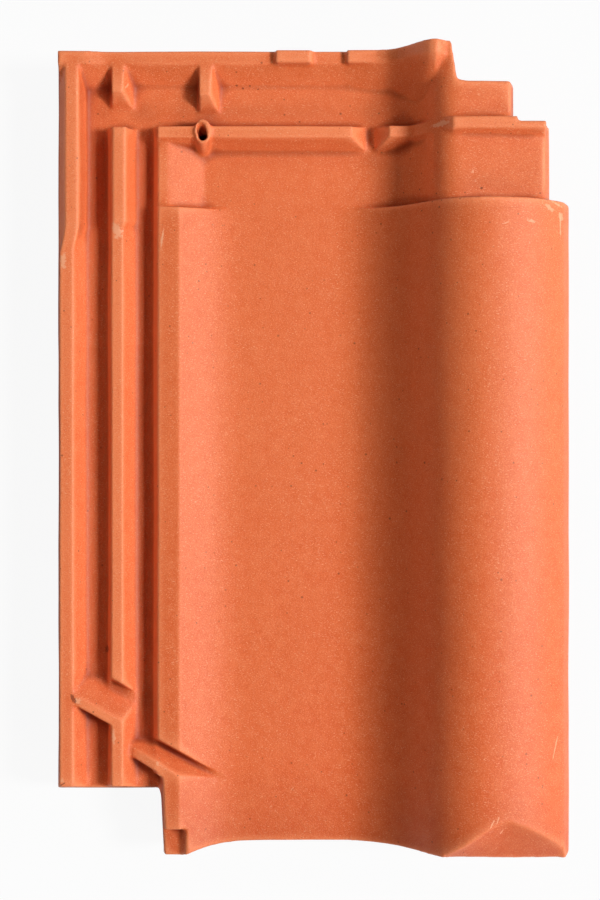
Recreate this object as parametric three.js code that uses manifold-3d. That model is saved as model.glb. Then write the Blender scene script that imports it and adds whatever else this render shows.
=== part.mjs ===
// Interlocking clay roof tile (pan-and-roll pattern), pressed and fired in one piece.
// Millimetres. +X runs across the tile to the roll, +Y up the slope to the head, +Z up.
// Heights inside the model are counted from the top of the trough. The finished mesh is
// lifted by noseDepth, so that the nibs and the nose stand on z = 0.

import * as THREE from 'three';
import { mergeVertices } from 'three/addons/utils/BufferGeometryUtils.js';
import Module from 'manifold-3d';

// ---------------------------------------------------------------- driving dimensions

// A "run" is how far a sloping wall goes sideways for each millimetre of height.

// Laying
const tileLength = 419.4;
const gauge = 335;             // step from one course to the next
const deckThickness = 11;
const panGrooveTop = -4.5;     // top of the groove in the underside, from the lock's channels
const noseDepth = 24;          // trough surface down to the underside of the nose

// Side lock: two water bars and two channels, left to right
const lockHeight = 9;          // crests of the bars over the channel floors
const headLockHeight = 11;     // the same above the step
const outerRun = 0.2;
const outerBarCrest = 6.9;
const outerBarFlank = 6.5;
const headOuterBarLean = 3;    // the raised length of the outer bar stands this much farther in
const channelOneWidth = 10.5;
const innerBarWall = 3;
const innerBarCrest = 5.8;
const headInnerBarCrest = 6.8;
const innerBarFlank = 6.5;
const channelTwoWidth = 8.4;
const outerBarDropFrom = 91.4;   // head end to the sloping drops in the two bars
const outerBarDrop = 13;
const innerBarDropFrom = 88.4;
const innerBarDrop = 4.5;

// Pan
const panWall = 3.5;
const panEdgeWidth = 11.2;
const panEdgeHeight = 10;
const panEdgeFall = 0.7;       // the edge falls this much towards the lock
const panSlopeAngle = 26;
const panSlopeRadius = 48;
const troughWidth = 48.6;

// Roll: a hollow arc, a straight flank, and two arcs that meet at the crown, all tangent
const hollowRadius = 54;
const flankAngle = 51;
const rollRadius = 37;         // flank to crown
const coverRadius = 52;        // crown to the right wall
const rollHeight = 42;
const rollReach = 40;          // crown to the upper corner of the right wall
const coverWallWidth = 5;
const coverLipFoot = 11;       // underside of the lip that covers the next tile's pan edge
const coverLipWidth = 12;
const tongueTip = 3;           // underside of the tongue that hangs in the next second channel
const tongueWidth = 4.5;
const tongueDraft = 1.2;

// Head seat, which lies under the nose of the next course
const seatLength = 80.7;       // head end to the step
const seatHollowRadius = 143;
const seatHollowAngle = 9.5;
const seatFlankRadius = 27;    // hollow to flank
const seatFlankAngle = 66;
const seatRollRadius = 15;     // flank to the flat top
const seatRollHeight = 31;
const seatTopFrom = 14.4;      // crown to the left end of the flat top
const seatTopFall = 1.5;
const seatRollReach = 29;      // crown to the upper corner of the right wall
const seatWallWidth = 4.7;
const seatEdgeHeight = 7.5;
const seatEdgeWidth = 5;
const seatEdgeRun = 18.8;

// Head rib, along the head end
const headRibHeight = 9;
const headRibCornerHeight = 11;
const headRibCrest = 6.4;
const headRibFrontRun = 1.15;
const headRibBackRun = 0.05;
const headRibPadRise = 3.5;
const headRibPadWidth = 20.6;
const headRibPadLeftRun = 0.1;
const headRibPadRightRun = 0.6;
const headRibPadFrontRun = 0.3;
const headRibGap = 16.5;       // between the two raised pads
const headRibRiseFrom = 70.8;  // crown to the second pad, where the crest starts to rise
const headRibRise = 17.4;      // length of the second pad
const headRibRollFoot = 12.8;  // height where the crest turns up along the roll
const headRibTop = 34.4;
const headRibTopWidth = 4;
const headRibEndFrom = 22;     // crown to the right end of its crest
const headRibEndWall = 3.5;
const headRibEndSplay = 3;

// Stubs that stand forward from the head rib
const firstStubReach = 14.5;
const secondStubReach = 16.3;
const stubFrontRun = 0.9;
const stubLeftRun = 0.1;
const stubTaper = 1.2;         // how much narrower the crest is at its front end
const secondStubFrom = 21.6;   // pan edge to the second stub
const secondStubCrest = 6.7;
const secondStubFlank = 4.7;

// Inner rib, across the pan and over the roll
const innerRibFrom = 39.3;     // head end to the back of its crest
const innerRibHeight = 10.5;
const innerRibCrest = 5.6;
const innerRibFrontRun = 0.6;
const innerRibBackRun = 0.15;
const innerRibBlockHeight = 12.5;
const innerRibBlockWidth = 10;
const innerRibRollHeight = 35;
const innerRibRollFrom = 3.2;  // start of the seat's flat top to that height
const innerRibEndSetback = 2.4;

// Clip notch and nail boss, both in the inner rib
const notchFromCrown = 58.2;   // crown to the middle of the notch floor
const notchFloor = 4.2;
const notchLeftRun = 0.8;
const notchRightRun = 0.66;
const nailFromEdge = 23.5;     // pan edge to the nail hole
const nailFromBack = 5.4;      // back of the inner rib's crest to the nail hole
const nailHoleRadius = 2.3;
const nailRampAside = 1.2;     // the hole opens upwards in a ramp, back and a little to the left
const nailRampBack = 5.2;
const nailRampDepth = 8;
const bossTopHeight = 12;
const bossTopWidth = 8.6;
const bossTopLength = 12.6;
const bossTopSetback = 2.6;    // its top stands this much behind the hole
const bossFootWidth = 11.9;
const bossFootLength = 18;

// Head end of the roll, cut back where four tiles meet
const rollHeadSetback = 20.3;
const rollHeadReach = 11.3;    // past the crown
const rollHeadSideRun = 0.31;
const rollHeadFillet = 8;
const headCorner = 2;

// Diverters, which lead the channel water over to the pan
const diverterAngle = 29;
const diverterCrest = 4.6;
const diverterBackRun = 0.2;
const firstDiverterFrom = 70.7; // front corner up to its crest, at the inner bar
const firstFaceRun = 1.25;
const firstGutterFloor = 4.8;
const secondDiverterFrom = 49.3; // front corner up to its crest, at the pan edge
const secondDiverterRise = 0.26; // its crest rises towards the pan edge
const secondFaceRun = 0.75;
const secondGutterFloor = 2;
const gutterFloorHeight = 0.9;
const gutterWallRun = 0.25;
const gutterReach = 34;        // past the pan edge
const lockEndFrom = 31.8;      // front corner to the lower end of the side lock
const lockEndRun = 0.25;

// Nose
const noseWallFrom = 42;       // front corner up to where the pan's left wall steps in
const noseWallInset = 3.6;     // pan wall's foot to the foot of that wall
const noseWallRun = 0.24;
const noseWallTaper = 0.05;    // it stands in farther towards the nose
const recessLength = 14.5;
const recessWallRun = 1;
const recessDepth = 6;
const cornerWidth = 16;        // the front edge sweeps back from this corner to the trough
const cornerSweep = 44;
const noseSetback = 6.5;
const rollNoseSetback = 2.3;   // the roll's end sweeps forward to the right corner
const rollNoseFrom = 24;       // crown to where that sweep begins
const noseCorner = 4;
const bevelFoot = 28.7;        // height of the bevel above the line of the nose, at the crown
const bevelLean = 0.175;       // its fall to the right
const bevelApexFrom = 9.9;     // crown to the highest point of its upper edge
const bevelLength = 20;        // nose to that point
const bevelEndLength = 2.5;
const bevelShoulder = 15;
const bevelPieces = 14;
const bevelOver = 5;           // how far its cut reaches past the nose and past its edge

// Underside
const noseLipLength = 16;
const noseLipRun = 0.4;
const nibWidth = 27;
const nibLength = 15;
const nibFrom = 33;            // head end to the faces that bear on the batten
const nibBackRun = 0.35;
const leftNibFrom = 44;        // left edge to the left nib
const nibSpacing = 106;
const bearRibWidth = 7;
const bearRibClearance = 4;
const bearRibRun = 0.4;

const clay = new THREE.MeshStandardMaterial({ color: 0xd9774f, roughness: 0.85, metalness: 0 });

// ---------------------------------------------------------------- derived places

const radians = Math.PI / 180;
const slopeTurn = panSlopeAngle * radians;
const panSlopeArcRun = panSlopeRadius * Math.sin(slopeTurn);
const panSlopeArcDrop = panSlopeRadius * (1 - Math.cos(slopeTurn));
const panSlopeLineRun = (panEdgeHeight - panSlopeArcDrop) / Math.tan(slopeTurn);

// The hollow's arcs are [radius, slope at the far end] from the trough on. A straight flank takes
// up what they and the round arc leave of the height. The run is from the trough to the top.
function makeRoll(hollow, radius, height) {
  let slope = 0;
  let run = 0;
  let rise = 0;
  for (const [hollowArc, turn] of hollow) {
    run += hollowArc * (Math.sin(turn) - Math.sin(slope));
    rise += hollowArc * (Math.cos(slope) - Math.cos(turn));
    slope = turn;
  }
  const flankRise = height - rise - radius * (1 - Math.cos(slope));
  run += flankRise / Math.tan(slope) + radius * Math.sin(slope);
  return { hollow, radius, height, run };
}

const mainRoll = makeRoll([[hollowRadius, flankAngle * radians]], rollRadius, rollHeight);
const seatRoll = makeRoll([
  [seatHollowRadius, seatHollowAngle * radians],
  [seatFlankRadius, seatFlankAngle * radians],
], seatRollRadius, seatRollHeight);

const widths = [
  outerRun * (deckThickness + lockHeight), outerBarCrest, outerBarFlank, channelOneWidth,
  innerBarWall, innerBarCrest, innerBarFlank, channelTwoWidth, panWall, panEdgeWidth,
  panSlopeLineRun, panSlopeArcRun, troughWidth, mainRoll.run, rollReach, coverWallWidth,
];
const tileWidth = widths.reduce((sum, width) => sum + width, 0);
const left = -tileWidth / 2;
const right = tileWidth / 2;
const head = tileLength / 2;
const front = -tileLength / 2;

// The far side of each width in turn
const [
  outerCrestLeft, outerCrestRight, channelOneLeft, innerBarLeft, innerCrestLeft, innerCrestRight,
  channelTwoLeft, panWallFoot, panEdgeLeft, panEdgeRight, panSlopeEnd, troughLeft, troughRight,
  crown,
] = widths.map((_, index) => left + widths.slice(0, index + 1).reduce((sum, width) => sum + width, 0));

const underside = -deckThickness;
const floorLeft = left + outerRun * deckThickness;
const step = head - seatLength;
const lockEnd = front + lockEndFrom;
const innerRibBack = head - innerRibFrom;
const innerRibFront = innerRibBack - innerRibCrest;
const seatCorner = crown + seatRollReach;
const seatRight = seatCorner + seatWallWidth;
const seatTopLeft = crown - seatTopFrom;
const headRibFront = head - headRibCrest;
const headRibRight = crown - headRibEndFrom;
const nailX = panEdgeLeft + nailFromEdge;
const nailY = innerRibBack - nailFromBack;

// ---------------------------------------------------------------- making solids

const wasm = await Module();
wasm.setup();

const sink = 3;                // how far an added form reaches into what carries it
const hangFrom = 9.5;          // upper face down to the top of what hangs from the deck
const beyond = 20;             // how far a cutting form reaches past what it cuts
const arcPieces = 8;

const alongX = new THREE.Vector3(1, 0, 0);
const alongY = new THREE.Vector3(0, 1, 0);
const alongZ = new THREE.Vector3(0, 0, 1);

function toSolid(geometry) {
  geometry.deleteAttribute('normal');
  geometry.deleteAttribute('uv');
  const merged = mergeVertices(geometry, 1e-4);
  return new wasm.Manifold(new wasm.Mesh({
    numProp: 3,
    vertProperties: new Float32Array(merged.attributes.position.array),
    triVerts: new Uint32Array(merged.index.array),
  }));
}

function extrude(shape, depth, xAxis, yAxis, zAxis, origin) {
  const geometry = new THREE.ExtrudeGeometry(shape, {
    depth,
    bevelEnabled: false,
    curveSegments: arcPieces,
  });
  geometry.applyMatrix4(new THREE.Matrix4().makeBasis(xAxis, yAxis, zAxis).setPosition(origin));
  return toSolid(geometry);
}

// A section drawn in x and z, carried from yFront to yBack
function carryAlongY(shape, yFront, yBack) {
  const origin = new THREE.Vector3(0, yBack, 0);
  return extrude(shape, yBack - yFront, alongX, alongZ, alongY.clone().negate(), origin);
}

// A section drawn in y and z, carried from xLeft to xRight
function carryAlongX(shape, xLeft, xRight) {
  return extrude(shape, xRight - xLeft, alongY, alongZ, alongX, new THREE.Vector3(xLeft, 0, 0));
}

function polygon(points) {
  return new THREE.Shape(points.map(([x, y]) => new THREE.Vector2(x, y)));
}

// Skins a row of like convex rings and closes both ends
function loft(rings) {
  const corners = rings[0].length;
  const faces = [];
  for (let ring = 0; ring + 1 < rings.length; ring += 1) {
    for (let corner = 0; corner < corners; corner += 1) {
      const a = ring * corners + corner;
      const b = ring * corners + ((corner + 1) % corners);
      faces.push(a, b, b + corners, a, b + corners, a + corners);
    }
  }
  const last = (rings.length - 1) * corners;
  for (let corner = 1; corner + 1 < corners; corner += 1) {
    faces.push(0, corner + 1, corner);
    faces.push(last, last + corner, last + corner + 1);
  }
  const geometry = new THREE.BufferGeometry();
  geometry.setAttribute('position', new THREE.Float32BufferAttribute(rings.flat(2), 3));
  geometry.setIndex(faces);
  return toSolid(geometry);
}

// Height at x of an outline whose points run from left to right
function heightOn(outline, x) {
  const found = outline.findIndex((point) => point.x >= x);
  const next = found < 0 ? outline.length - 1 : Math.max(1, found);
  const a = outline[next - 1];
  const b = outline[next];
  return a.y + (b.y - a.y) * THREE.MathUtils.clamp((x - a.x) / Math.max(b.x - a.x, 1e-6), 0, 1);
}

// Places along x where a rib needs a ring: its ends and each corner of the outlines between
function stationsBetween(xLeft, xRight, ...outlines) {
  const inside = outlines.flat().map((point) => point.x);
  const kept = inside.filter((x) => x > xLeft + 0.2 && x < xRight - 0.2);
  const sorted = [xLeft, ...kept.sort((a, b) => a - b), xRight];
  return sorted.filter((x, index) => index === 0 || x - sorted[index - 1] > 0.1);
}

// ---------------------------------------------------------------- surfaces

// From the trough up the hollow and the flank to the top of the roll at xTop, set in from the
// top surface
function addRoll(path, roll, xTop, inset) {
  const quarter = Math.PI / 2;
  let slope = 0;
  let x = xTop - roll.run;
  let z = 0;
  path.lineTo(x, -inset);
  for (const [radius, turn] of roll.hollow) {
    const middleX = x - radius * Math.sin(slope);
    const middleZ = z + radius * Math.cos(slope);
    path.absarc(middleX, middleZ, radius + inset, slope - quarter, turn - quarter, false);
    x = middleX + radius * Math.sin(turn);
    z = middleZ - radius * Math.cos(turn);
    slope = turn;
  }
  const top = roll.height - roll.radius;
  path.absarc(xTop, top, roll.radius - inset, quarter + slope, quarter, true);
}

function addMainRoll(path, reach, inset) {
  addRoll(path, mainRoll, crown, inset);
  const end = Math.acos(reach / (coverRadius - inset));
  path.absarc(crown, rollHeight - coverRadius, coverRadius - inset, Math.PI / 2, end, true);
}

function addSeatRoll(path, inset) {
  addRoll(path, seatRoll, seatTopLeft, inset);
  path.lineTo(seatCorner, seatRollHeight - seatTopFall - inset);
}

function outline(path) {
  return path.getPoints(arcPieces);
}

function makeMainSurface() {
  const path = new THREE.Path();
  path.moveTo(floorLeft, 0);
  path.lineTo(panWallFoot, 0);
  path.lineTo(panEdgeLeft, panEdgeHeight - panEdgeFall);
  path.lineTo(panEdgeRight, panEdgeHeight);
  path.lineTo(panSlopeEnd, panSlopeArcDrop);
  const quarter = Math.PI / 2;
  path.absarc(troughLeft, panSlopeRadius, panSlopeRadius, -quarter - slopeTurn, -quarter, false);
  addMainRoll(path, rollReach, 0);
  return outline(path);
}

function makeSeatSurface() {
  const path = new THREE.Path();
  path.moveTo(floorLeft, 0);
  path.lineTo(panWallFoot, 0);
  path.lineTo(panEdgeLeft, seatEdgeHeight);
  path.lineTo(panEdgeLeft + seatEdgeWidth, seatEdgeHeight);
  path.lineTo(panEdgeLeft + seatEdgeWidth + seatEdgeRun, 0);
  addSeatRoll(path, 0);
  return outline(path);
}

function makeHeadChannelSurface() {
  const path = new THREE.Path();
  path.moveTo(floorLeft, 0);
  addSeatRoll(path, 0);
  return outline(path);
}

const mainSurface = makeMainSurface();
const seatSurface = makeSeatSurface();
const headChannelSurface = makeHeadChannelSurface();

// ---------------------------------------------------------------- deck

function closedSection(bottomPath, surface) {
  return new THREE.Shape([...outline(bottomPath), ...surface.slice().reverse()]);
}

// Below the step the underside rises in a groove under the pan edge. The right wall ends in the
// cover lip, with the tongue beside it.
function mainSection() {
  const path = new THREE.Path();
  const reach = panSlopeRadius + deckThickness;
  const slopeFootX = troughLeft - reach * Math.sin(slopeTurn);
  const slopeFootZ = panSlopeRadius - reach * Math.cos(slopeTurn);
  const quarter = Math.PI / 2;
  path.moveTo(left, underside);
  path.lineTo(panWallFoot, underside);
  path.lineTo(panEdgeLeft + panWall, panGrooveTop);
  const grooveRight = slopeFootX - (panGrooveTop - slopeFootZ) / Math.tan(slopeTurn);
  path.lineTo(grooveRight, panGrooveTop);
  path.lineTo(slopeFootX, slopeFootZ);
  path.absarc(troughLeft, panSlopeRadius, reach, -quarter - slopeTurn, -quarter, false);
  const tongueRight = right - coverLipWidth;
  const tongueLeft = tongueRight - tongueWidth;
  addMainRoll(path, tongueLeft - tongueDraft - crown, deckThickness);
  path.lineTo(tongueLeft, tongueTip);
  path.lineTo(tongueRight - tongueDraft, tongueTip);
  path.lineTo(tongueRight, coverLipFoot);
  path.lineTo(right, coverLipFoot);
  return closedSection(path, mainSurface);
}

function headSection(surface) {
  const path = new THREE.Path();
  path.moveTo(left, underside);
  addSeatRoll(path, deckThickness);
  path.lineTo(seatRight, path.currentPoint.y);
  return closedSection(path, surface);
}

function makeDeck() {
  const main = carryAlongY(mainSection(), front - beyond, step);
  const seat = carryAlongY(headSection(seatSurface), step - sink, innerRibBack);
  const channel = carryAlongY(headSection(headChannelSurface), innerRibFront, head + beyond);
  return main.add(seat).add(channel);
}

// ---------------------------------------------------------------- side lock

function outerBarRing(y, height, lean) {
  const flank = outerBarFlank / lockHeight;
  const crestLeft = outerCrestLeft + lean;
  const crestRight = Math.min(crestLeft + outerBarCrest, channelOneLeft - 1);
  return [
    [floorLeft + 1, y, -sink],
    [channelOneLeft + flank * sink, y, -sink],
    [channelOneLeft, y, 0],
    [crestRight, y, height],
    [crestLeft, y, height],
    [floorLeft, y, 0],
  ];
}

function makeOuterBar() {
  const dropTop = head - outerBarDropFrom;
  return loft([
    outerBarRing(head + beyond, headLockHeight, headOuterBarLean),
    outerBarRing(dropTop, headLockHeight, headOuterBarLean),
    outerBarRing(dropTop - outerBarDrop, lockHeight, 0),
    outerBarRing(lockEnd, lockHeight, 0),
  ]);
}

function innerBarRing(y, height, crestWidth) {
  const wall = innerBarWall / lockHeight;
  const crestLeft = innerBarLeft + wall * height;
  const crestRight = crestLeft + crestWidth;
  const flank = (channelTwoLeft - crestRight) / height;
  return [
    [innerBarLeft - wall * sink, y, -sink],
    [channelTwoLeft + flank * sink, y, -sink],
    [crestRight, y, height],
    [crestLeft, y, height],
  ];
}

function makeInnerBar() {
  const dropTop = head - innerBarDropFrom;
  return loft([
    innerBarRing(innerRibBack, headLockHeight, headInnerBarCrest),
    innerBarRing(dropTop, headLockHeight, headInnerBarCrest),
    innerBarRing(dropTop - innerBarDrop, lockHeight, innerBarCrest),
    innerBarRing(lockEnd, lockHeight, innerBarCrest),
  ]);
}

// A form that runs down to the right at the diverters' angle. Its section is drawn upstream and up
// from a point on the crest.
function carryDownstream(shape, x, y, reachLeft, reachRight, rise) {
  const turn = diverterAngle * radians;
  const along = new THREE.Vector3(Math.cos(turn), -Math.sin(turn), rise);
  const upstream = new THREE.Vector3(Math.sin(turn), Math.cos(turn), 0);
  const origin = new THREE.Vector3(x, y, 0).addScaledVector(along, -reachLeft);
  return extrude(shape, reachLeft + reachRight, upstream, alongZ, along, origin);
}

function diverterSection(height, faceRun) {
  const foot = -sink - deckThickness / 2;
  return polygon([
    [-diverterCrest - diverterBackRun * (height - foot), foot],
    [faceRun * (height - foot), foot],
    [0, height],
    [-diverterCrest, height],
  ]);
}

function gutterSection(height, faceRun, floor) {
  const floorFrom = faceRun * (height - gutterFloorHeight);
  const floorTo = floorFrom + floor;
  return polygon([
    [floorFrom, gutterFloorHeight],
    [floorTo, gutterFloorHeight],
    [floorTo + gutterWallRun * (height + beyond), height + beyond],
    [-faceRun * beyond, height + beyond],
  ]);
}

// Leads channel one over to channel two, through a gap in the inner bar
function firstDiverter() {
  const crestY = front + firstDiverterFrom;
  const flank = innerBarFlank / lockHeight;
  const between = carryAlongY(polygon([
    [outerCrestLeft + 1, -sink],
    [channelTwoLeft + flank * sink, -sink],
    [innerCrestRight, lockHeight],
    [outerCrestLeft + 1, lockHeight],
  ]), lockEnd, step);
  const bar = carryDownstream(
    diverterSection(lockHeight, firstFaceRun), innerCrestRight, crestY, channelTwoLeft - left,
    channelTwoWidth * 2, 0);
  const gap = carryDownstream(
    gutterSection(lockHeight, firstFaceRun, firstGutterFloor), innerCrestRight, crestY,
    channelOneWidth + innerBarCrest, innerBarFlank + channelTwoWidth / 2, 0);
  return { bar: bar.intersect(between), gap };
}

// Leads channel two out on to the pan, through a gap in the pan edge
function secondDiverter() {
  const crestY = front + secondDiverterFrom;
  const crest = panEdgeHeight - panEdgeFall;
  const between = carryAlongY(polygon([
    [innerCrestLeft + 1, -sink],
    [panEdgeLeft + 1, -sink],
    [panEdgeLeft + 1, crest],
    [innerCrestLeft + 1, crest],
  ]), lockEnd, step);
  const bar = carryDownstream(
    diverterSection(crest, secondFaceRun), panEdgeLeft, crestY, panEdgeLeft - innerCrestLeft,
    panEdgeWidth, secondDiverterRise);
  const gap = carryDownstream(
    gutterSection(crest, secondFaceRun, secondGutterFloor), panEdgeLeft, crestY,
    panWall + channelTwoWidth / 2, gutterReach, 0);
  return { bar: bar.intersect(between), gap };
}

// ---------------------------------------------------------------- ribs at the head

// Ring of a rib that stands on the deck. Its foot may be set sideways from its crest at an end.
function standingRing(rib, xCrest, xFoot) {
  const top = heightOn(rib.crest, xCrest);
  const foot = heightOn(rib.floor, xFoot) - sink;
  const rise = top - foot;
  const frontEdge = rib.back - rib.crestWidth;
  return [
    [xFoot, frontEdge - rib.frontRun * rise, foot],
    [xFoot, rib.back + rib.backRun * rise, foot],
    [xCrest, rib.back, top],
    [xCrest, frontEdge, top],
  ];
}

// Without the raised pads
function headRibBaseLine() {
  const path = new THREE.Path();
  const rise = crown - headRibRiseFrom;
  const turnUp = rise + headRibRise;
  const topLeft = headRibRight - headRibTopWidth;
  path.moveTo(left, headRibCornerHeight);
  path.lineTo(channelOneLeft, headRibCornerHeight);
  path.lineTo(innerBarLeft, headRibHeight);
  path.lineTo(rise, headRibHeight);
  path.lineTo(turnUp, headRibRollFoot);
  path.bezierCurveTo(
    (turnUp + topLeft) / 2, headRibRollFoot, (turnUp + 2 * topLeft) / 3, headRibTop, topLeft, headRibTop);
  path.lineTo(headRibRight, headRibTop - headRibEndSplay);
  return outline(path);
}

function headRibPad(xLeft, xRight, baseLine) {
  const top = headRibHeight + headRibPadRise;
  const rib = {
    crest: [
      new THREE.Vector2(xLeft, headRibHeight),
      new THREE.Vector2(xLeft + headRibPadLeftRun * headRibPadRise, top),
      new THREE.Vector2(xRight - headRibPadRightRun * headRibPadRise, top),
      new THREE.Vector2(xRight, heightOn(baseLine, xRight)),
    ],
    floor: baseLine,
    back: head,
    crestWidth: headRibCrest,
    frontRun: headRibPadFrontRun,
    backRun: headRibBackRun,
  };
  return loft(rib.crest.map(({ x }) => standingRing(rib, x, x)));
}

function makeHeadRib() {
  const baseLine = headRibBaseLine();
  const rib = {
    crest: baseLine,
    floor: headChannelSurface,
    back: head,
    crestWidth: headRibCrest,
    frontRun: headRibFrontRun,
    backRun: headRibBackRun,
  };
  const places = stationsBetween(floorLeft + 1, headRibRight, rib.crest, headChannelSurface);
  const rings = places.slice(0, -1).map((x) => standingRing(rib, x, x));
  rings.push(standingRing(rib, headRibRight, headRibRight + headRibEndWall));
  const rise = crown - headRibRiseFrom;
  const firstRight = rise - headRibGap;
  return loft(rings)
    .add(headRibPad(firstRight - headRibPadWidth, firstRight, baseLine))
    .add(headRibPad(rise, rise + headRibRise, baseLine));
}

// A finger that stands forward from the head rib, steep on its left and sloping on its right
function stub(crestLeft, crestRight, footRight, reach) {
  const rightRun = (footRight - crestRight) / headRibHeight;
  const ring = (y, height, taper) => [
    [crestLeft - stubLeftRun * (headRibHeight + sink), y, -sink],
    [crestRight - taper + rightRun * (headRibHeight + sink), y, -sink],
    [crestRight - taper + rightRun * (headRibHeight - height), y, height],
    [crestLeft - stubLeftRun * (headRibHeight - height), y, height],
  ];
  const crestEnd = headRibFront - reach;
  return loft([
    ring(headRibFront + 1, headRibHeight, 0),
    ring(crestEnd, headRibHeight, stubTaper),
    ring(crestEnd - stubFrontRun * (headRibHeight + 1), -1, stubTaper),
  ]);
}

function makeStubs() {
  const firstRight = innerCrestLeft + headInnerBarCrest;
  const first = stub(innerCrestLeft, firstRight, channelTwoLeft, firstStubReach);
  const secondLeft = panEdgeLeft + secondStubFrom;
  const secondRight = secondLeft + secondStubCrest;
  return first.add(stub(secondLeft, secondRight, secondRight + secondStubFlank, secondStubReach));
}

function innerRibCrestLine() {
  const notchMiddle = crown - notchFromCrown;
  const blockLeft = notchMiddle + notchFloor / 2 + notchRightRun * innerRibBlockHeight;
  return outline(polygon([
    [panEdgeLeft, innerRibHeight],
    [notchMiddle, innerRibHeight],
    [notchMiddle + notchFloor / 2, innerRibBlockHeight],
    [blockLeft + innerRibBlockWidth, innerRibBlockHeight],
    [seatTopLeft - innerRibRollFrom, innerRibRollHeight],
    [seatRight, innerRibRollHeight],
  ])).slice(0, -1);
}

function makeInnerRib() {
  const rib = {
    crest: innerRibCrestLine(),
    floor: headChannelSurface,
    back: innerRibBack,
    crestWidth: innerRibCrest,
    frontRun: innerRibFrontRun,
    backRun: innerRibBackRun,
  };
  const places = stationsBetween(panEdgeLeft, seatCorner, rib.crest, headChannelSurface);
  const rings = places.slice(1, -1).map((x) => standingRing(rib, x, x));
  const first = standingRing(rib, panEdgeLeft, panWallFoot);
  const last = standingRing(rib, seatCorner, seatCorner + (sink * seatWallWidth) / deckThickness);
  return loft([first, ...rings, last]).subtract(clipNotch()).add(nailBoss());
}

// Narrow gap with sloping sides, down to the deck
function clipNotch() {
  const floorFrom = crown - notchFromCrown - notchFloor / 2;
  const floorTo = floorFrom + notchFloor;
  const floor = heightOn(seatSurface, floorTo);
  const top = floor + beyond;
  return carryAlongY(polygon([
    [floorFrom, floor - sink],
    [floorTo, floor - sink],
    [floorTo, floor],
    [floorTo + notchRightRun * beyond, top],
    [floorFrom - notchLeftRun * beyond, top],
    [floorFrom, floor],
  ]), innerRibFront - beyond, innerRibBack + beyond);
}

function nailBoss() {
  const ring = (y, width, length, z) => new THREE.EllipseCurve(nailX, y, width / 2, length / 2)
    .getPoints(24).slice(0, -1).map((point) => [point.x, point.y, z]);
  return loft([
    ring(nailY, bossFootWidth, bossFootLength, -sink),
    ring(nailY, bossFootWidth, bossFootLength, 0),
    ring(nailY + bossTopSetback, bossTopWidth, bossTopLength, bossTopHeight),
  ]);
}

// ---------------------------------------------------------------- underside

// Ring of a form that hangs from the deck
function hangingRing(x, yFront, yBack, frontRun, backRun, bottom) {
  const top = heightOn(mainSurface, x) - hangFrom;
  const rise = top - bottom;
  return [
    [x, yFront, bottom],
    [x, yBack, bottom],
    [x, yBack + backRun * rise, top],
    [x, yFront - frontRun * rise, top],
  ];
}

// The nose's underside is the print of the seat below
function makeNoseLip() {
  const lipLeft = panWallFoot + noseWallInset;
  const places = stationsBetween(lipLeft, right - coverLipWidth, seatSurface, mainSurface);
  return loft(places.map((x) => {
    const bottom = heightOn(seatSurface, Math.max(x, panEdgeLeft)) - noseDepth;
    return hangingRing(x, front - beyond, front + noseLipLength, 0, noseLipRun, bottom);
  }));
}

// Hangs in the head channel of the course below
function makeBearRib() {
  const channelMiddle = (innerRibBack + headRibFront - headRibFrontRun * headRibHeight) / 2;
  const middle = channelMiddle - gauge;
  const places = stationsBetween(panEdgeRight, crown, headChannelSurface, mainSurface);
  const half = bearRibWidth / 2;
  return loft(places.map((x) => {
    const bottom = heightOn(headChannelSurface, x) - noseDepth + bearRibClearance;
    return hangingRing(x, middle - half, middle + half, bearRibRun, bearRibRun, bottom);
  }));
}

function nib(xLeft) {
  const face = head - nibFrom;
  const rings = stationsBetween(xLeft, xLeft + nibWidth, headChannelSurface).map((x) => {
    const top = heightOn(headChannelSurface, x) - deckThickness / 2;
    return [
      [x, face, -noseDepth],
      [x, face + nibLength, -noseDepth],
      [x, face + nibLength + nibBackRun * (top + noseDepth), top],
      [x, face, top],
    ];
  });
  return loft(rings);
}

function makeNibs() {
  return nib(left + leftNibFrom).add(nib(left + leftNibFrom + nibSpacing));
}

// ---------------------------------------------------------------- outline and cuts

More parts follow.
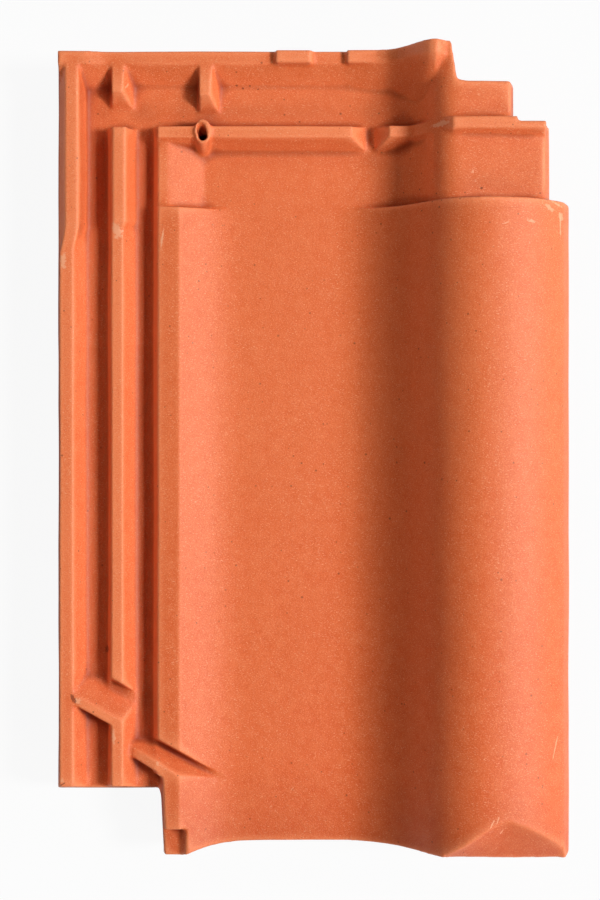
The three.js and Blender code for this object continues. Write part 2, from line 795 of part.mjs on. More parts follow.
function makePlan() {
  const corner = headCorner;
  const rollHead = head - rollHeadSetback;
  const rollHeadRight = crown + rollHeadReach + rollHeadSideRun * deckThickness;
  const ribEnd = innerRibBack - innerRibEndSetback;
  const endWall = headRibRight + headRibEndWall;
  const nose = front + noseSetback;
  const rollNose = front + rollNoseSetback;
  const cornerRight = panWallFoot + cornerWidth;
  const plan = new THREE.Shape();
  plan.moveTo(panWallFoot, front);
  plan.lineTo(panWallFoot, lockEnd);
  plan.lineTo(left, lockEnd);
  plan.lineTo(left, head - corner);
  plan.quadraticCurveTo(left, head, left + corner, head);
  plan.lineTo(endWall, head);
  plan.lineTo(endWall + headRibEndSplay, rollHead + corner);
  plan.quadraticCurveTo(
    endWall + headRibEndSplay, rollHead, endWall + headRibEndSplay + rollHeadFillet, rollHead);
  plan.lineTo(rollHeadRight - corner, rollHead);
  plan.quadraticCurveTo(rollHeadRight, rollHead, rollHeadRight, rollHead - corner);
  plan.lineTo(rollHeadRight, ribEnd);
  plan.lineTo(seatRight - corner, ribEnd);
  plan.quadraticCurveTo(seatRight, ribEnd, seatRight, ribEnd - corner);
  plan.lineTo(seatRight, step);
  plan.lineTo(right - corner, step);
  plan.quadraticCurveTo(right, step, right, step - corner);
  plan.lineTo(right, rollNose + noseCorner);
  plan.quadraticCurveTo(right, rollNose, right - noseCorner, rollNose);
  plan.lineTo(crown - rollNoseFrom, nose);
  plan.lineTo(cornerRight + cornerSweep, nose);
  plan.quadraticCurveTo(cornerRight + cornerSweep / 3, nose, cornerRight, front);
  plan.closePath();
  const depth = rollHeight + headRibTop - underside + noseDepth;
  const origin = new THREE.Vector3(0, 0, -noseDepth - 1);
  return extrude(plan, depth, alongX, alongY, alongZ, origin);
}

// The lower end of the side lock leans back from its foot
function lockEndCut() {
  const at = (z) => lockEnd + lockEndRun * (z - underside);
  return carryAlongX(polygon([
    [lockEnd - beyond, underside],
    [lockEnd, underside],
    [at(beyond), beyond],
    [lockEnd - beyond, beyond],
  ]), left - beyond, panWallFoot + noseWallInset);
}

// The right side of the roll's head end leans in
function rollHeadSide() {
  const x = crown + rollHeadReach;
  const at = (z) => x + rollHeadSideRun * (seatRollHeight - z);
  const top = seatRollHeight + beyond;
  return carryAlongY(polygon([
    [at(underside), underside],
    [at(underside) + beyond, underside],
    [at(underside) + beyond, top],
    [at(top), top],
  ]), innerRibBack, head + beyond);
}

// Below the second diverter the pan's left wall stands in a little
function noseWallCut() {
  const start = front + noseWallFrom;
  const foot = panWallFoot + noseWallInset;
  const towardsNose = new THREE.Vector3(noseWallTaper, -1, 0);
  const above = polygon([
    [panWallFoot - sink, 0],
    [foot, 0],
    [foot + noseWallRun * beyond, beyond],
    [panWallFoot - sink, beyond],
  ]);
  const below = polygon([
    [panWallFoot - beyond, -noseDepth - 1],
    [foot, -noseDepth - 1],
    [foot, 0],
    [panWallFoot - beyond, 0],
  ]);
  const aboveFrom = new THREE.Vector3(0, start, 0);
  const belowFrom = new THREE.Vector3(0, lockEnd, 0);
  belowFrom.addScaledVector(alongX, noseWallTaper * (start - lockEnd));
  const length = noseWallFrom + beyond;
  return extrude(above, length, alongX, alongZ, towardsNose, aboveFrom)
    .add(extrude(below, length, alongX, alongZ, towardsNose, belowFrom));
}

// Low corner of the nose, beside the next tile's cover lip
function cornerRecess() {
  const floor = panEdgeHeight - recessDepth;
  return carryAlongY(polygon([
    [panWallFoot - beyond, floor],
    [panEdgeRight, floor],
    [panEdgeRight + recessWallRun * beyond, floor + beyond],
    [panWallFoot - beyond, floor + beyond],
  ]), front - beyond, front + recessLength);
}

// Upper edge of the bevel, as distances from the crown and from the nose
function bevelEdge() {
  const bend = (bevelApexFrom + rollNoseFrom) / 3;
  const leftEnd = new THREE.Vector2(-rollNoseFrom, bevelEndLength);
  const leftBend = new THREE.Vector2(-rollNoseFrom + bend, bevelEndLength);
  const apexBend = new THREE.Vector2(bevelApexFrom - bend, bevelLength);
  const apex = new THREE.Vector2(bevelApexFrom, bevelLength);
  const shoulder = new THREE.Vector2((bevelApexFrom + rollReach) / 2, bevelShoulder);
  const rightEnd = new THREE.Vector2(rollReach, bevelEndLength);
  const leftPart = new THREE.CubicBezierCurve(leftEnd, leftBend, apexBend, apex);
  const rightPart = new THREE.QuadraticBezierCurve(apex, shoulder, rightEnd);
  return [...leftPart.getPoints(bevelPieces), ...rightPart.getPoints(bevelPieces).slice(1)];
}

// Bevel across the end of the roll. At each place it falls straight from its edge to the nose.
function noseBevel() {
  const nose = front + noseSetback;
  const rings = bevelEdge().map((edge) => {
    const x = crown + edge.x;
    const foot = bevelFoot - bevelLean * edge.x;
    const rise = (heightOn(mainSurface, x) - foot) / edge.y;
    const at = (y) => foot + rise * (y - nose);
    const lower = nose - bevelOver;
    const upper = nose + edge.y + bevelOver;
    return [[x, lower, at(lower)], [x, upper, at(upper)], [x, lower, at(upper)]];
  });
  const pastRight = rings[rings.length - 1].map(([x, y, z]) => [x + beyond, y, z]);
  return loft([...rings, pastRight]);
}

function nailHole() {
  const depth = 4 * deckThickness;
  const geometry = new THREE.CylinderGeometry(nailHoleRadius, nailHoleRadius, depth, 12);
  geometry.rotateX(Math.PI / 2);
  geometry.translate(nailX, nailY, 0);
  return toSolid(geometry);
}

// Lets a nail in at a slant from the head side
function nailRamp() {
  const ring = (share, z) => new THREE.EllipseCurve(nailX, nailY, nailHoleRadius, nailHoleRadius)
    .getPoints(24).slice(0, -1).map((point) => {
      const moved = point.y > nailY ? share : 0;
      return [point.x - moved * nailRampAside, point.y + moved * nailRampBack, z];
    });
  const foot = bossTopHeight - nailRampDepth;
  return loft([
    ring(0, foot - 1),
    ring(0.02, foot),
    ring(1, bossTopHeight),
    ring(1.1, bossTopHeight + sink),
  ]);
}

// ---------------------------------------------------------------- tile

function makeTile() {
  const first = firstDiverter();
  const second = secondDiverter();
  const bars = makeOuterBar().add(makeInnerBar().subtract(first.gap)).add(first.bar);
  const deck = makeDeck().subtract(second.gap).add(second.bar);
  const headRibs = makeHeadRib().add(makeStubs()).add(makeInnerRib());
  const hanging = makeNoseLip().add(makeBearRib()).add(makeNibs());
  return deck.add(bars).add(headRibs).add(hanging)
    .intersect(makePlan())
    .subtract(noseWallCut())
    .subtract(cornerRecess())
    .subtract(lockEndCut())
    .subtract(rollHeadSide())
    .subtract(noseBevel())
    .subtract(nailHole())
    .subtract(nailRamp());
}

function toGeometry(solid) {
  const mesh = solid.getMesh();
  const geometry = new THREE.BufferGeometry();
  geometry.setAttribute('position', new THREE.Float32BufferAttribute(mesh.vertProperties, 3));
  geometry.setIndex(Array.from(mesh.triVerts));
  geometry.computeVertexNormals();
  return geometry;
}

const tile = new THREE.Mesh(toGeometry(makeTile()), clay);
tile.name = 'clay_roof_tile';
tile.position.z = noseDepth;

const model = new THREE.Group();
model.add(tile);

export default model;
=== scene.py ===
# Looks of the clay roof tile: fired, unglazed clay with pressed edges, grain and small chips.
# Metres. +X runs across the tile to the roll, +Y up the slope to the head, +Z up.

import math

import bpy
import numpy as np
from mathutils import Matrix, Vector, kdtree


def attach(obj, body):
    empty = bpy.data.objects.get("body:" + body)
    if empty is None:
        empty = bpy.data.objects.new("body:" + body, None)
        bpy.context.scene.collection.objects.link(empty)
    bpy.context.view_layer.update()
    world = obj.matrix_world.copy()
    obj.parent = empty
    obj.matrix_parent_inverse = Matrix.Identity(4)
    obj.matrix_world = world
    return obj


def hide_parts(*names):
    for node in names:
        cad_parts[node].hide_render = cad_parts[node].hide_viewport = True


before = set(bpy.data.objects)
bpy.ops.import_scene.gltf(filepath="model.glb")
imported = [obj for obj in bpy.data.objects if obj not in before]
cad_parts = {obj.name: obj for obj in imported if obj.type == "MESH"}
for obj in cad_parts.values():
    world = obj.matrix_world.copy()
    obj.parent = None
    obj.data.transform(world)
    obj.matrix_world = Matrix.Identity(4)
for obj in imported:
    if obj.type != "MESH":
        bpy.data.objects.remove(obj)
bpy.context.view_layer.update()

MM = 0.001
SEED = 20

# ---------------------------------------------------------------- driving values

# Mesh of the tile
VOXEL = 0.8 * MM
FIRST_STEPS = 2  # takes the voxel steps off everywhere
FACET_STEPS = 50  # takes the flat pieces out of the arcs and leaves real edges alone
FILLET_STEPS = 5  # fills inside corners and leaves outside ones alone
STEP_SHARE = 0.5
EDGE_BEND = (0.014 * MM, 0.028 * MM)  # bend of the mesh that counts as no edge and as a full edge
EDGE_SPREAD = 3  # steps over which an edge fades into the faces beside it
LAST_STEPS = 1
MOST_TRIANGLES = 190_000

# What the painted highlight on crests and the painted shade in hollows and on walls need to know
# of the shape, kept on the mesh
HOLLOW = "hollow"
HOLLOW_STEPS = 60  # width over which hollows and crests are measured
HOLLOW_DEPTH = 3 * MM  # depth that counts as a full hollow or crest
STEEP = "steep"
STEEP_FROM, STEEP_TO = 0.35, 0.15  # upright part of the normal where a wall begins and is full
STEEP_SPREAD = 2  # steps over which a wall fades into its edges

# The pressed faces are never quite true
WAVES = (  # longest and shortest wave, size of the movement
    (120 * MM, 50 * MM, 0.15 * MM),
    (30 * MM, 12 * MM, 0.04 * MM),
)
WAVE_COUNT = 14

# Clay
CLAY = (0.80, 0.159, 0.043)
CLAY_PALE = (0.92, 0.264, 0.096)
# also the painted shade towards the nose
CLAY_DEEP = (0.70, 0.080, 0.012)
# painted highlight on the crests
PAINTED_CREST_HIGHLIGHT = (1.0, 0.29, 0.115)
# pale wear on sharp edges, partly a painted highlight
WORN_AND_HIGHLIT_EDGE = (1.0, 0.38, 0.18)
# painted shade for hollows, steep walls and the nose end
PAINTED_SHADE_RED = (0.24, 0.018, 0.002)
BROKEN_CLAY = (0.95, 0.47, 0.27)
FLECK = (0.97, 0.50, 0.28)
# dark grit in the clay, also the painted shade of pits
DARK_GRIT_AND_PIT_SHADE = (0.16, 0.024, 0.008)
ROUGHNESS = 0.5
SHINE = 0.42
BUMP_STRENGTH = 0.6
BUMP_DEPTH = 0.3 * MM

# Patterns in the clay: how many to the metre, detail, roughness
GRAIN_PATTERN = (1700, 2, 0.8)
MOTTLE_PATTERN = (160, 3, 0.6)
UNEVEN_PATTERN = (600, 2, 0.8)
FIRING_PATTERN = (11, 1, 0.5)
THREAD_PATTERN = (1000, 1, 0.5)
THREAD_TURN = 38  # degrees
THREAD_STRETCH = (1.0, 3.2, 2.0)
GRIT_PATTERN = 240  # cells to the metre

# Where a second colour shows: where it begins, where it is full, its greatest share
FIRING_SHOWS = (0.35, 0.65, 0.15)
NOSE_SHADE_SHOWS = (60 * MM, -205 * MM, 0.4)  # painted shade: darker towards the nose
# painted shade, darker again at the nose end
NOSE_END_SHADE_SHOWS = (-165 * MM, -203 * MM, 0.18)
MOTTLE_SHOWS = (0.32, 0.68, 0.3)
# painted highlight on the crests
CREST_HIGHLIGHT_SHOWS = (-0.12, -0.42, 0.85)
DARK_GRAIN_SHOWS = (0.5, 0.25, 0.65)
PALE_GRAIN_SHOWS = (0.5, 0.75, 0.7)
THREAD_SHOWS = (0.63, 0.70, 0.6)
# sharp edges worn pale, partly a painted highlight
EDGE_WEAR_AND_HIGHLIGHT_SHOWS = (0.52, 0.58, 0.5)
EDGE_PATCHES = (0.42, 0.6)  # edges are worn and highlit here and there only
# painted shade in hollows
HOLLOW_SHADE_SHOWS = (0.18, 0.6, 0.85)
# painted shade on steep walls
WALL_SHADE_SHARE = 0.85
GRIT_CELLS = (0.4, 1.0)  # most cells hold no grit, the rest hold small to large grains
GRIT_SIZE = 0.22  # of a cell
GRIT_SHARE = 0.9

# Wear seen on this tile, and pits as painted shade: kind, place and half size in millimetres,
# turn in degrees
MARKS = (
    ("chip", (-100.6, 116.7, 33.0), (2.4, 4.2), 15),  # drop of the inner bar
    ("chip", (-128.7, 100.6, 33.0), (1.4, 3.9), 0),  # crest of the outer bar
    ("chip", (65.9, 167.8, 52.4), (6.3, 1.4), 4),  # inner rib on the roll
    ("chip", (81.9, 143.0, 54.8), (0.7, 0.7), 0),
    ("chip", (-120.9, -128.4, 33.0), (1.6, 1.6), 0),  # first diverter
    ("chip", (-102.4, -147.1, 33.0), (0.9, 3.7), 0),
    ("chip", (-129.2, -169.5, 33.0), (1.3, 1.1), 0),  # lower end of the lock
    ("chip", (-95.8, 192.4, 29.9), (0.4, 1.6), -25),  # first stub
    ("chip", (-79.5, -161.1, 33.3), (0.7, 1.2), 0),  # second diverter
    ("chip", (121.0, 124.5, 56.0), (2.6, 1.0), -30),  # head end of the cover
    ("chip", (127.5, 121.0, 49.0), (1.4, 2.2), 10),
    ("chip", (111.0, 117.0, 61.0), (2.0, 0.8), -15),
    ("scuff", (-77.1, 112.0, 33.4), (0.5, 5.3), -8),  # pan edge
    ("scuff", (127.2, 116.4, 49.7), (0.4, 5.8), 0),  # right side of the roll
    ("scuff", (124.5, 127.4, 50.0), (4.7, 0.5), -20),
    ("scuff", (124.2, -148.4, 52.7), (0.3, 5.8), -15),
    ("scuff", (97.2, 115.6, 65.4), (1.6, 0.3), 20),
    ("scuff", (90.7, -184.2, 66.0), (0.3, 2.6), -25),  # edge of the bevel
    ("scuff", (93.2, -183.2, 65.8), (0.3, 2.1), -20),
    ("scuff", (95.7, -189.3, 61.5), (0.3, 2.4), -30),
    ("scuff", (106.0, -206.0, 50.0), (10.0, 0.35), 2),
    ("pit", (86.4, 134.9, 54.6), (0.6, 0.6), 0),
    ("pit", (-106.8, -102.5, 24.0), (1.3, 1.6), 0),  # first channel
    ("pit", (-123.5, -127.0, 32.3), (0.9, 2.8), 25),  # first diverter
    ("pit", (-128.7, -171.6, 33.0), (1.6, 0.4), 35),
    ("pit", (-38.6, 193.7, 24.6), (0.6, 0.4), 0),  # head channel
    ("pit", (-35.4, 192.5, 24.0), (0.7, 0.4), 0),
    ("pit", (-31.7, 193.7, 24.6), (0.5, 0.4), 0),
    ("pit", (-27.5, 192.0, 24.0), (0.6, 0.3), 0),
)
MARK_DEPTH = 5  # millimetres up and down within which a mark takes
MARK_EDGE = (1.1, 0.8)  # distance, in half sizes, at which a mark begins and is full
MARK_RAGGED = 3  # how far its outline moves in and out
NO_MARK = 9  # a distance beyond any mark
CHIP_SHARE = 0.6
SCUFF_SHARE = 0.7
# pits are painted shade, dark spots with no hollow in the shape
PIT_SHADE_SHARE = 0.7

# Camera, straight above
CAMERA_AT = (-5.4 * MM, 2.2 * MM, 824 * MM)
FOCAL_PIXELS = 1520
IMAGE_HEIGHT = 900
SENSOR = 24  # millimetres
NEAREST_SEEN = 10 * MM

# Light: angle from straight above, turn from +X towards +Y, size, power, whether it glints
LAMPS = {
    "key": (47, 0, 0.9, 150, True),
    "key_head_side": (60, 45, 0.9, 22, True),
    "key_nose_side": (60, -45, 0.9, 30, True),
    "far_head_side": (65, 135, 0.9, 19.5, False),
    "far_nose_side": (65, -135, 0.9, 22.5, False),
    "top": (22, 180, 0.9, 9, False),
}
LAMP_DISTANCE = 4
AMBIENT = 0.01  # strength of the white world
WHITE = (1, 1, 1)
FLOOR_COLOUR = (0.86, 0.86, 0.86)
FLOOR_SHOWS = (0.985, 0.985, 0.985)  # what the camera sees of it
FLOOR_SHADOW = 0.06  # share of the real shading in that
FLOOR_SIZE = 6


# ---------------------------------------------------------------- mesh tools


def evaluated_copy(piece):
    """A new mesh of the piece with its modifiers applied."""
    depsgraph = bpy.context.evaluated_depsgraph_get()
    return bpy.data.meshes.new_from_object(piece.evaluated_get(depsgraph))


def with_modifier(piece, kind, **settings):
    """Applies one modifier to the piece's own mesh."""
    modifier = piece.modifiers.new(kind, kind)
    for name, value in settings.items():
        setattr(modifier, name, value)
    mesh = evaluated_copy(piece)
    piece.modifiers.clear()
    piece.data = mesh


def read_points(mesh):
    points = np.empty(len(mesh.vertices) * 3)
    mesh.vertices.foreach_get("co", points)
    return points.reshape(-1, 3)


def write_points(mesh, points):
    mesh.vertices.foreach_set("co", points.ravel())
    mesh.update()


def read_normals(mesh):
    normals = np.empty(len(mesh.vertices) * 3)
    mesh.vertex_normals.foreach_get("vector", normals)
    return normals.reshape(-1, 3)


def read_edges(mesh):
    edges = np.empty(len(mesh.edges) * 2, dtype=np.int64)
    mesh.edges.foreach_get("vertices", edges)
    return edges.reshape(-1, 2)


def neighbour_mean(values, edges):
    """The mean of each vertex's neighbours, for one value or several per vertex."""
    values = values.reshape(len(values), -1)
    a, b = edges.T
    count = np.bincount(a, minlength=len(values)) + np.bincount(b, minlength=len(values))
    means = [
        np.bincount(a, column[b], len(values)) + np.bincount(b, column[a], len(values))
        for column in values.T
    ]
    return np.squeeze(np.stack(means, axis=1) / np.maximum(count, 1)[:, None])


# ---------------------------------------------------------------- shape of the tile


def waves(points, rng):
    """A smooth, uneven movement made of plane waves in all directions."""
    total = np.zeros(len(points))
    for longest, shortest, size in WAVES:
        for _ in range(WAVE_COUNT):
            direction = rng.normal(size=3)
            direction /= np.linalg.norm(direction)
            length = rng.uniform(shortest, longest)
            phase = rng.uniform(0, 2 * math.pi)
            total += size / math.sqrt(WAVE_COUNT) * np.sin(
                points @ direction * 2 * math.pi / length + phase
            )
    return total


def bends(mesh, edges):
    """How far each vertex lies under the mean of its neighbours, along its normal."""
    points = read_points(mesh)
    normals = read_normals(mesh)
    return np.sum((neighbour_mean(points, edges) - points) * normals, axis=1)


def smooth(mesh, edges, steps, share):
    """Moves each vertex towards the mean of its neighbours, by its own share."""
    points = read_points(mesh)
    for _ in range(steps):
        points += share[:, None] * (neighbour_mean(points, edges) - points)
    write_points(mesh, points)


def fill_inside_corners(mesh, edges, steps):
    """Small fillets where faces meet in a hollow."""
    for _ in range(steps):
        filling = np.maximum(bends(mesh, edges), 0) * STEP_SHARE
        points = read_points(mesh) + read_normals(mesh) * filling[:, None]
        write_points(mesh, points)


def flat_share(mesh, edges):
    """1 away from edges, falling to 0 on them."""
    bend = np.abs(bends(mesh, edges))
    sharp = np.clip((bend - EDGE_BEND[0]) / (EDGE_BEND[1] - EDGE_BEND[0]), 0, 1)
    for _ in range(EDGE_SPREAD):
        sharp = np.maximum(sharp, neighbour_mean(sharp, edges))
    return 1 - sharp


def hollows(mesh, edges):
    """From 1 deep in a hollow to -1 on top of a crest, 0 on flat ground."""
    points = read_points(mesh)
    around = points
    for _ in range(HOLLOW_STEPS):
        around = neighbour_mean(around, edges)
    depth = np.sum((around - points) * read_normals(mesh), axis=1)
    return np.clip(depth / HOLLOW_DEPTH, -1, 1)


def steep_walls(mesh, edges):
    """1 on walls and on the edges above and below them, 0 on sloping and level ground."""
    upward = np.abs(read_normals(mesh)[:, 2])
    steep = np.clip((STEEP_FROM - upward) / (STEEP_FROM - STEEP_TO), 0, 1)
    for _ in range(STEEP_SPREAD):
        steep = np.maximum(steep, neighbour_mean(steep, edges))
    return steep


def nearest_values(values, points, places):
    """The value of the nearest of the points, for each place."""
    tree = kdtree.KDTree(len(points))
    for index, point in enumerate(points):
        tree.insert(point, index)
    tree.balance()
    return values[[tree.find(place)[1] for place in places]]


def make_tile(node):
    """The CAD mesh remeshed, softened, made slightly uneven and thinned out."""
    rng = np.random.default_rng(SEED)
    piece = bpy.data.objects.new("fired_clay_tile", node.data.copy())
    bpy.context.scene.collection.objects.link(piece)
    with_modifier(piece, "REMESH", mode="VOXEL", voxel_size=VOXEL)
    mesh = piece.data
    edges = read_edges(mesh)
    everywhere = np.full(len(mesh.vertices), STEP_SHARE)
    smooth(mesh, edges, FIRST_STEPS, everywhere)
    smooth(mesh, edges, FACET_STEPS, flat_share(mesh, edges) * STEP_SHARE)
    fill_inside_corners(mesh, edges, FILLET_STEPS)
    smooth(mesh, edges, LAST_STEPS, everywhere)
    points = read_points(mesh)
    points += read_normals(mesh) * waves(points, rng)[:, None]
    write_points(mesh, points)
    measured = np.stack([hollows(mesh, edges), steep_walls(mesh, edges)], axis=1)
    triangles = sum(len(face.vertices) - 2 for face in mesh.polygons)
    with_modifier(piece, "DECIMATE", ratio=min(1, MOST_TRIANGLES / triangles))
    piece.data.shade_smooth()
    kept = nearest_values(measured, points, read_points(piece.data))
    for name, values in zip((HOLLOW, STEEP), kept.T):
        attribute = piece.data.attributes.new(name, "FLOAT", "POINT")
        attribute.data.foreach_set("value", np.ascontiguousarray(values))
    return piece


# ---------------------------------------------------------------- clay


class Nodes:
    """Short ways to add and join a material's nodes."""

    def __init__(self, name):
        self.material = bpy.data.materials.new(name)
        self.material.use_nodes = True
        self.tree = self.material.node_tree
        self.tree.nodes.clear()

    def add(self, kind, settings=None, **inputs):
        node = self.tree.nodes.new("ShaderNode" + kind)
        for name, value in (settings or {}).items():
            setattr(node, name, value)
        for name, value in inputs.items():
            self.set(node, name.replace("_", " "), value)
        return node

    def set(self, node, name, value):
        socket = node.inputs[int(name)] if name.isdigit() else node.inputs[name]
        if isinstance(value, bpy.types.NodeSocket):
            self.tree.links.new(value, socket)
        elif isinstance(value, tuple) and len(value) == 3 and socket.type == "RGBA":
            socket.default_value = (*value, 1)
        else:
            socket.default_value = value

    def mix(self, factor, a, b):
        """Colour a with a share of colour b."""
        node = self.add("Mix", {"data_type": "RGBA"})
        self.set(node, "0", factor)
        self.set(node, "6", a)
        self.set(node, "7", b)
        return node.outputs[2]

    def math(self, operation, a, b=0.0, c=0.0):
        node = self.add("Math", {"operation": operation})
        for index, value in enumerate((a, b, c)):
            self.set(node, str(index), value)
        return node.outputs[0]

    def noise(self, place, scale, detail, roughness):
        node = self.add("TexNoise", Vector=place, Scale=scale, Detail=detail, Roughness=roughness)
        return node.outputs["Fac"]

    def between(self, value, low, high):
        """0 at low and 1 at high, even between them and level beyond them."""
        node = self.add("MapRange", {"clamp": True})
        self.set(node, "Value", value)
        self.set(node, "From Min", low)
        self.set(node, "From Max", high)
        return node.outputs[0]

    def share(self, value, begins, full, most):
        """The share of a second colour: 0 where it begins, most where it is full."""
        return self.math("MULTIPLY", self.between(value, begins, full), most)

    def from_mesh(self, name):
        """A value kept on the mesh."""
        return self.add("Attribute", {"attribute_name": name}).outputs["Fac"]

    def stretched(self, place, turn, scale):
        """Coordinates for a pattern drawn out along one direction of the tile."""
        node = self.add("Mapping", Vector=place, Scale=scale)
        node.inputs["Rotation"].default_value = (0, 0, math.radians(turn))
        return node.outputs[0]

    def patches(self, place, ragged, kind):
        """1 inside the uneven patches of one kind of mark, 0 outside them."""
        nearest = NO_MARK
        for name, middle, half_size, turn in MARKS:
            if name != kind:
                continue
            node = self.add("Mapping", {"vector_type": "TEXTURE"}, Vector=place)
            node.inputs["Location"].default_value = [value * MM for value in middle]
            node.inputs["Rotation"].default_value = (0, 0, math.radians(turn))
            sizes = (*half_size, MARK_DEPTH)
            node.inputs["Scale"].default_value = [value * MM for value in sizes]
            far = self.add("VectorMath", {"operation": "LENGTH"})
            self.set(far, "0", node.outputs[0])
            nearest = self.math("MINIMUM", far.outputs["Value"], nearest)
        return self.between(self.math("ADD", nearest, ragged), *MARK_EDGE)


def fired_colour(n, place, along, mottle):
    """Firing shades, painted shade darker towards the nose, and mottling."""
    firing = n.share(n.noise(place, *FIRING_PATTERN), *FIRING_SHOWS)
    # painted shade, darker towards the nose
    darker = n.math("ADD", firing, n.share(along, *NOSE_SHADE_SHOWS))
    shaded = n.mix(darker, CLAY, CLAY_DEEP)
    return n.mix(n.share(mottle, *MOTTLE_SHOWS), shaded, CLAY_PALE)


def grainy_colour(n, place, colour, grain):
    """Dark and pale grain, pale threads drawn out by the press, and grit."""
    colour = n.mix(n.share(grain, *DARK_GRAIN_SHOWS), colour, CLAY_DEEP)
    colour = n.mix(n.share(grain, *PALE_GRAIN_SHOWS), colour, CLAY_PALE)
    drawn = n.stretched(place, THREAD_TURN, THREAD_STRETCH)
    threads = n.share(n.noise(drawn, *THREAD_PATTERN), *THREAD_SHOWS)
    colour = n.mix(threads, colour, FLECK)
    cells = n.add("TexVoronoi", Vector=place, Scale=GRIT_PATTERN)
    size = n.share(cells.outputs["Color"], *GRIT_CELLS, GRIT_SIZE)
    grit = n.share(cells.outputs["Distance"], size, 0, GRIT_SHARE)
    return n.mix(grit, colour, DARK_GRIT_AND_PIT_SHADE)


def shaped_colour(n, along, colour, uneven, hollow):
    """Sharp edges worn pale here and there, partly a painted highlight; painted shade in hollows,
    on walls and at the nose end.
    """
    bend = n.add("NewGeometry").outputs["Pointiness"]
    patchy = n.between(uneven, *EDGE_PATCHES)
    # worn edges, partly a painted highlight
    worn = n.math("MULTIPLY", n.share(bend, *EDGE_WEAR_AND_HIGHLIGHT_SHOWS), patchy)
    colour = n.mix(worn, colour, WORN_AND_HIGHLIT_EDGE)
    # painted shade in hollows, on steep walls and at the nose end
    nose_end_shade = n.share(along, *NOSE_END_SHADE_SHOWS)
    hollow_and_nose_shade = n.math("ADD", n.share(hollow, *HOLLOW_SHADE_SHOWS), nose_end_shade)
    # painted shade on steep walls
    walls = n.math("MULTIPLY", n.from_mesh(STEEP), WALL_SHADE_SHARE)
    return n.mix(n.math("MAXIMUM", hollow_and_nose_shade, walls), colour, PAINTED_SHADE_RED)


def marked_colour(n, place, colour, uneven):
    """Chips, scuffs, and pits painted as dark shade."""
    ragged = n.math("MULTIPLY_ADD", uneven, MARK_RAGGED, -MARK_RAGGED / 2)
    chips = n.math("MULTIPLY", n.patches(place, ragged, "chip"), CHIP_SHARE)
    scuffs = n.math("MULTIPLY", n.patches(place, ragged, "scuff"), SCUFF_SHARE)
    pits = n.math("MULTIPLY", n.patches(place, ragged, "pit"), PIT_SHADE_SHARE)
    colour = n.mix(chips, colour, BROKEN_CLAY)
    colour = n.mix(scuffs, colour, BROKEN_CLAY)
    # pits: painted shade, with no hollow in the shape
    return n.mix(pits, colour, DARK_GRIT_AND_PIT_SHADE)


def clay_material():
    """Fired clay. Crests get a painted highlight before the grain goes on."""
    n = Nodes("fired_clay")
    place = n.add("TexCoord").outputs["Object"]
    along = n.add("SeparateXYZ", Vector=place).outputs["Y"]
    grain = n.noise(place, *GRAIN_PATTERN)
    mottle = n.noise(place, *MOTTLE_PATTERN)
    uneven = n.noise(place, *UNEVEN_PATTERN)
    hollow = n.from_mesh(HOLLOW)

    colour = fired_colour(n, place, along, mottle)
    # painted highlight on the crests, before the grain goes on
    colour = n.mix(n.share(hollow, *CREST_HIGHLIGHT_SHOWS), colour, PAINTED_CREST_HIGHLIGHT)
    colour = grainy_colour(n, place, colour, grain)
    colour = shaped_colour(n, along, colour, uneven, hollow)
    colour = marked_colour(n, place, colour, uneven)

    shader = n.add("BsdfPrincipled", Roughness=ROUGHNESS, Specular_IOR_Level=SHINE)
    n.set(shader, "Base Color", colour)
    bump = n.add("Bump", Strength=BUMP_STRENGTH, Distance=BUMP_DEPTH)
    n.set(bump, "Height", n.math("ADD", grain, mottle))
    n.set(shader, "Normal", bump.outputs[0])
    out = n.add("OutputMaterial")
    n.set(out, "Surface", shader.outputs[0])
    return n.material


# ---------------------------------------------------------------- studio


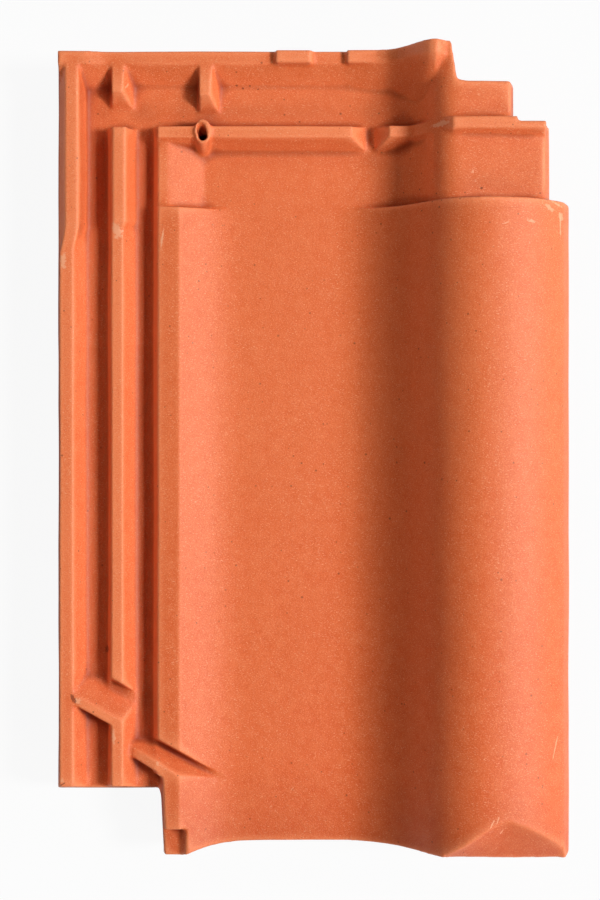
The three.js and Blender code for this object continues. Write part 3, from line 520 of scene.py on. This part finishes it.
def floor_material():
    """Near white to the camera, with a soft share of the real shading for the tile's shadow."""
    n = Nodes("studio_floor")
    path = n.add("LightPath")
    paint = n.add("BsdfDiffuse")
    n.set(paint, "Color", FLOOR_COLOUR)
    shown = n.add("Emission")
    n.set(shown, "Color", FLOOR_SHOWS)
    lifted = n.add("MixShader", Fac=1 - FLOOR_SHADOW)
    n.set(lifted, "1", paint.outputs[0])
    n.set(lifted, "2", shown.outputs[0])
    seen = n.add("MixShader", Fac=path.outputs["Is Camera Ray"])
    n.set(seen, "1", paint.outputs[0])
    n.set(seen, "2", lifted.outputs[0])
    out = n.add("OutputMaterial")
    n.set(out, "Surface", seen.outputs[0])
    return n.material


def make_floor():
    half = FLOOR_SIZE / 2
    mesh = bpy.data.meshes.new("studio_floor")
    corners = [(-half, -half, 0), (half, -half, 0), (half, half, 0), (-half, half, 0)]
    mesh.from_pydata(corners, [], [(0, 1, 2, 3)])
    mesh.materials.append(floor_material())
    floor = bpy.data.objects.new("studio_floor", mesh)
    bpy.context.scene.collection.objects.link(floor)


def aim(thing, target):
    thing.rotation_euler = (Vector(target) - thing.location).to_track_quat("-Z", "Y").to_euler()


def make_lamp(name, angle, turn, size, power, glints):
    lamp = bpy.data.lights.new(name, "AREA")
    lamp.shape = "SQUARE"
    lamp.size = size
    lamp.energy = power
    light = bpy.data.objects.new(name, lamp)
    light.visible_glossy = glints
    bpy.context.scene.collection.objects.link(light)
    across = LAMP_DISTANCE * math.sin(math.radians(angle))
    light.location = (
        across * math.cos(math.radians(turn)),
        across * math.sin(math.radians(turn)),
        LAMP_DISTANCE * math.cos(math.radians(angle)),
    )
    aim(light, (0, 0, 0))


def make_world():
    world = bpy.data.worlds.new("studio")
    world.use_nodes = True
    background = world.node_tree.nodes["Background"]
    background.inputs["Color"].default_value = (*WHITE, 1)
    background.inputs["Strength"].default_value = AMBIENT
    bpy.context.scene.world = world


def make_camera():
    lens = bpy.data.cameras.new("camera")
    lens.sensor_fit = "VERTICAL"
    lens.sensor_height = SENSOR
    lens.lens = SENSOR * FOCAL_PIXELS / IMAGE_HEIGHT
    lens.clip_start = NEAREST_SEEN
    camera = bpy.data.objects.new("camera", lens)
    camera.location = CAMERA_AT
    bpy.context.scene.collection.objects.link(camera)
    bpy.context.scene.camera = camera


# ---------------------------------------------------------------- scene

scene = bpy.context.scene
scene.view_settings.view_transform = "Standard"
make_camera()
make_world()
for lamp_name, lamp_values in LAMPS.items():
    make_lamp(lamp_name, *lamp_values)
make_floor()

tile = make_tile(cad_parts["clay_roof_tile"])
tile.data.materials.clear()
tile.data.materials.append(clay_material())
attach(tile, "root")
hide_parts("clay_roof_tile")
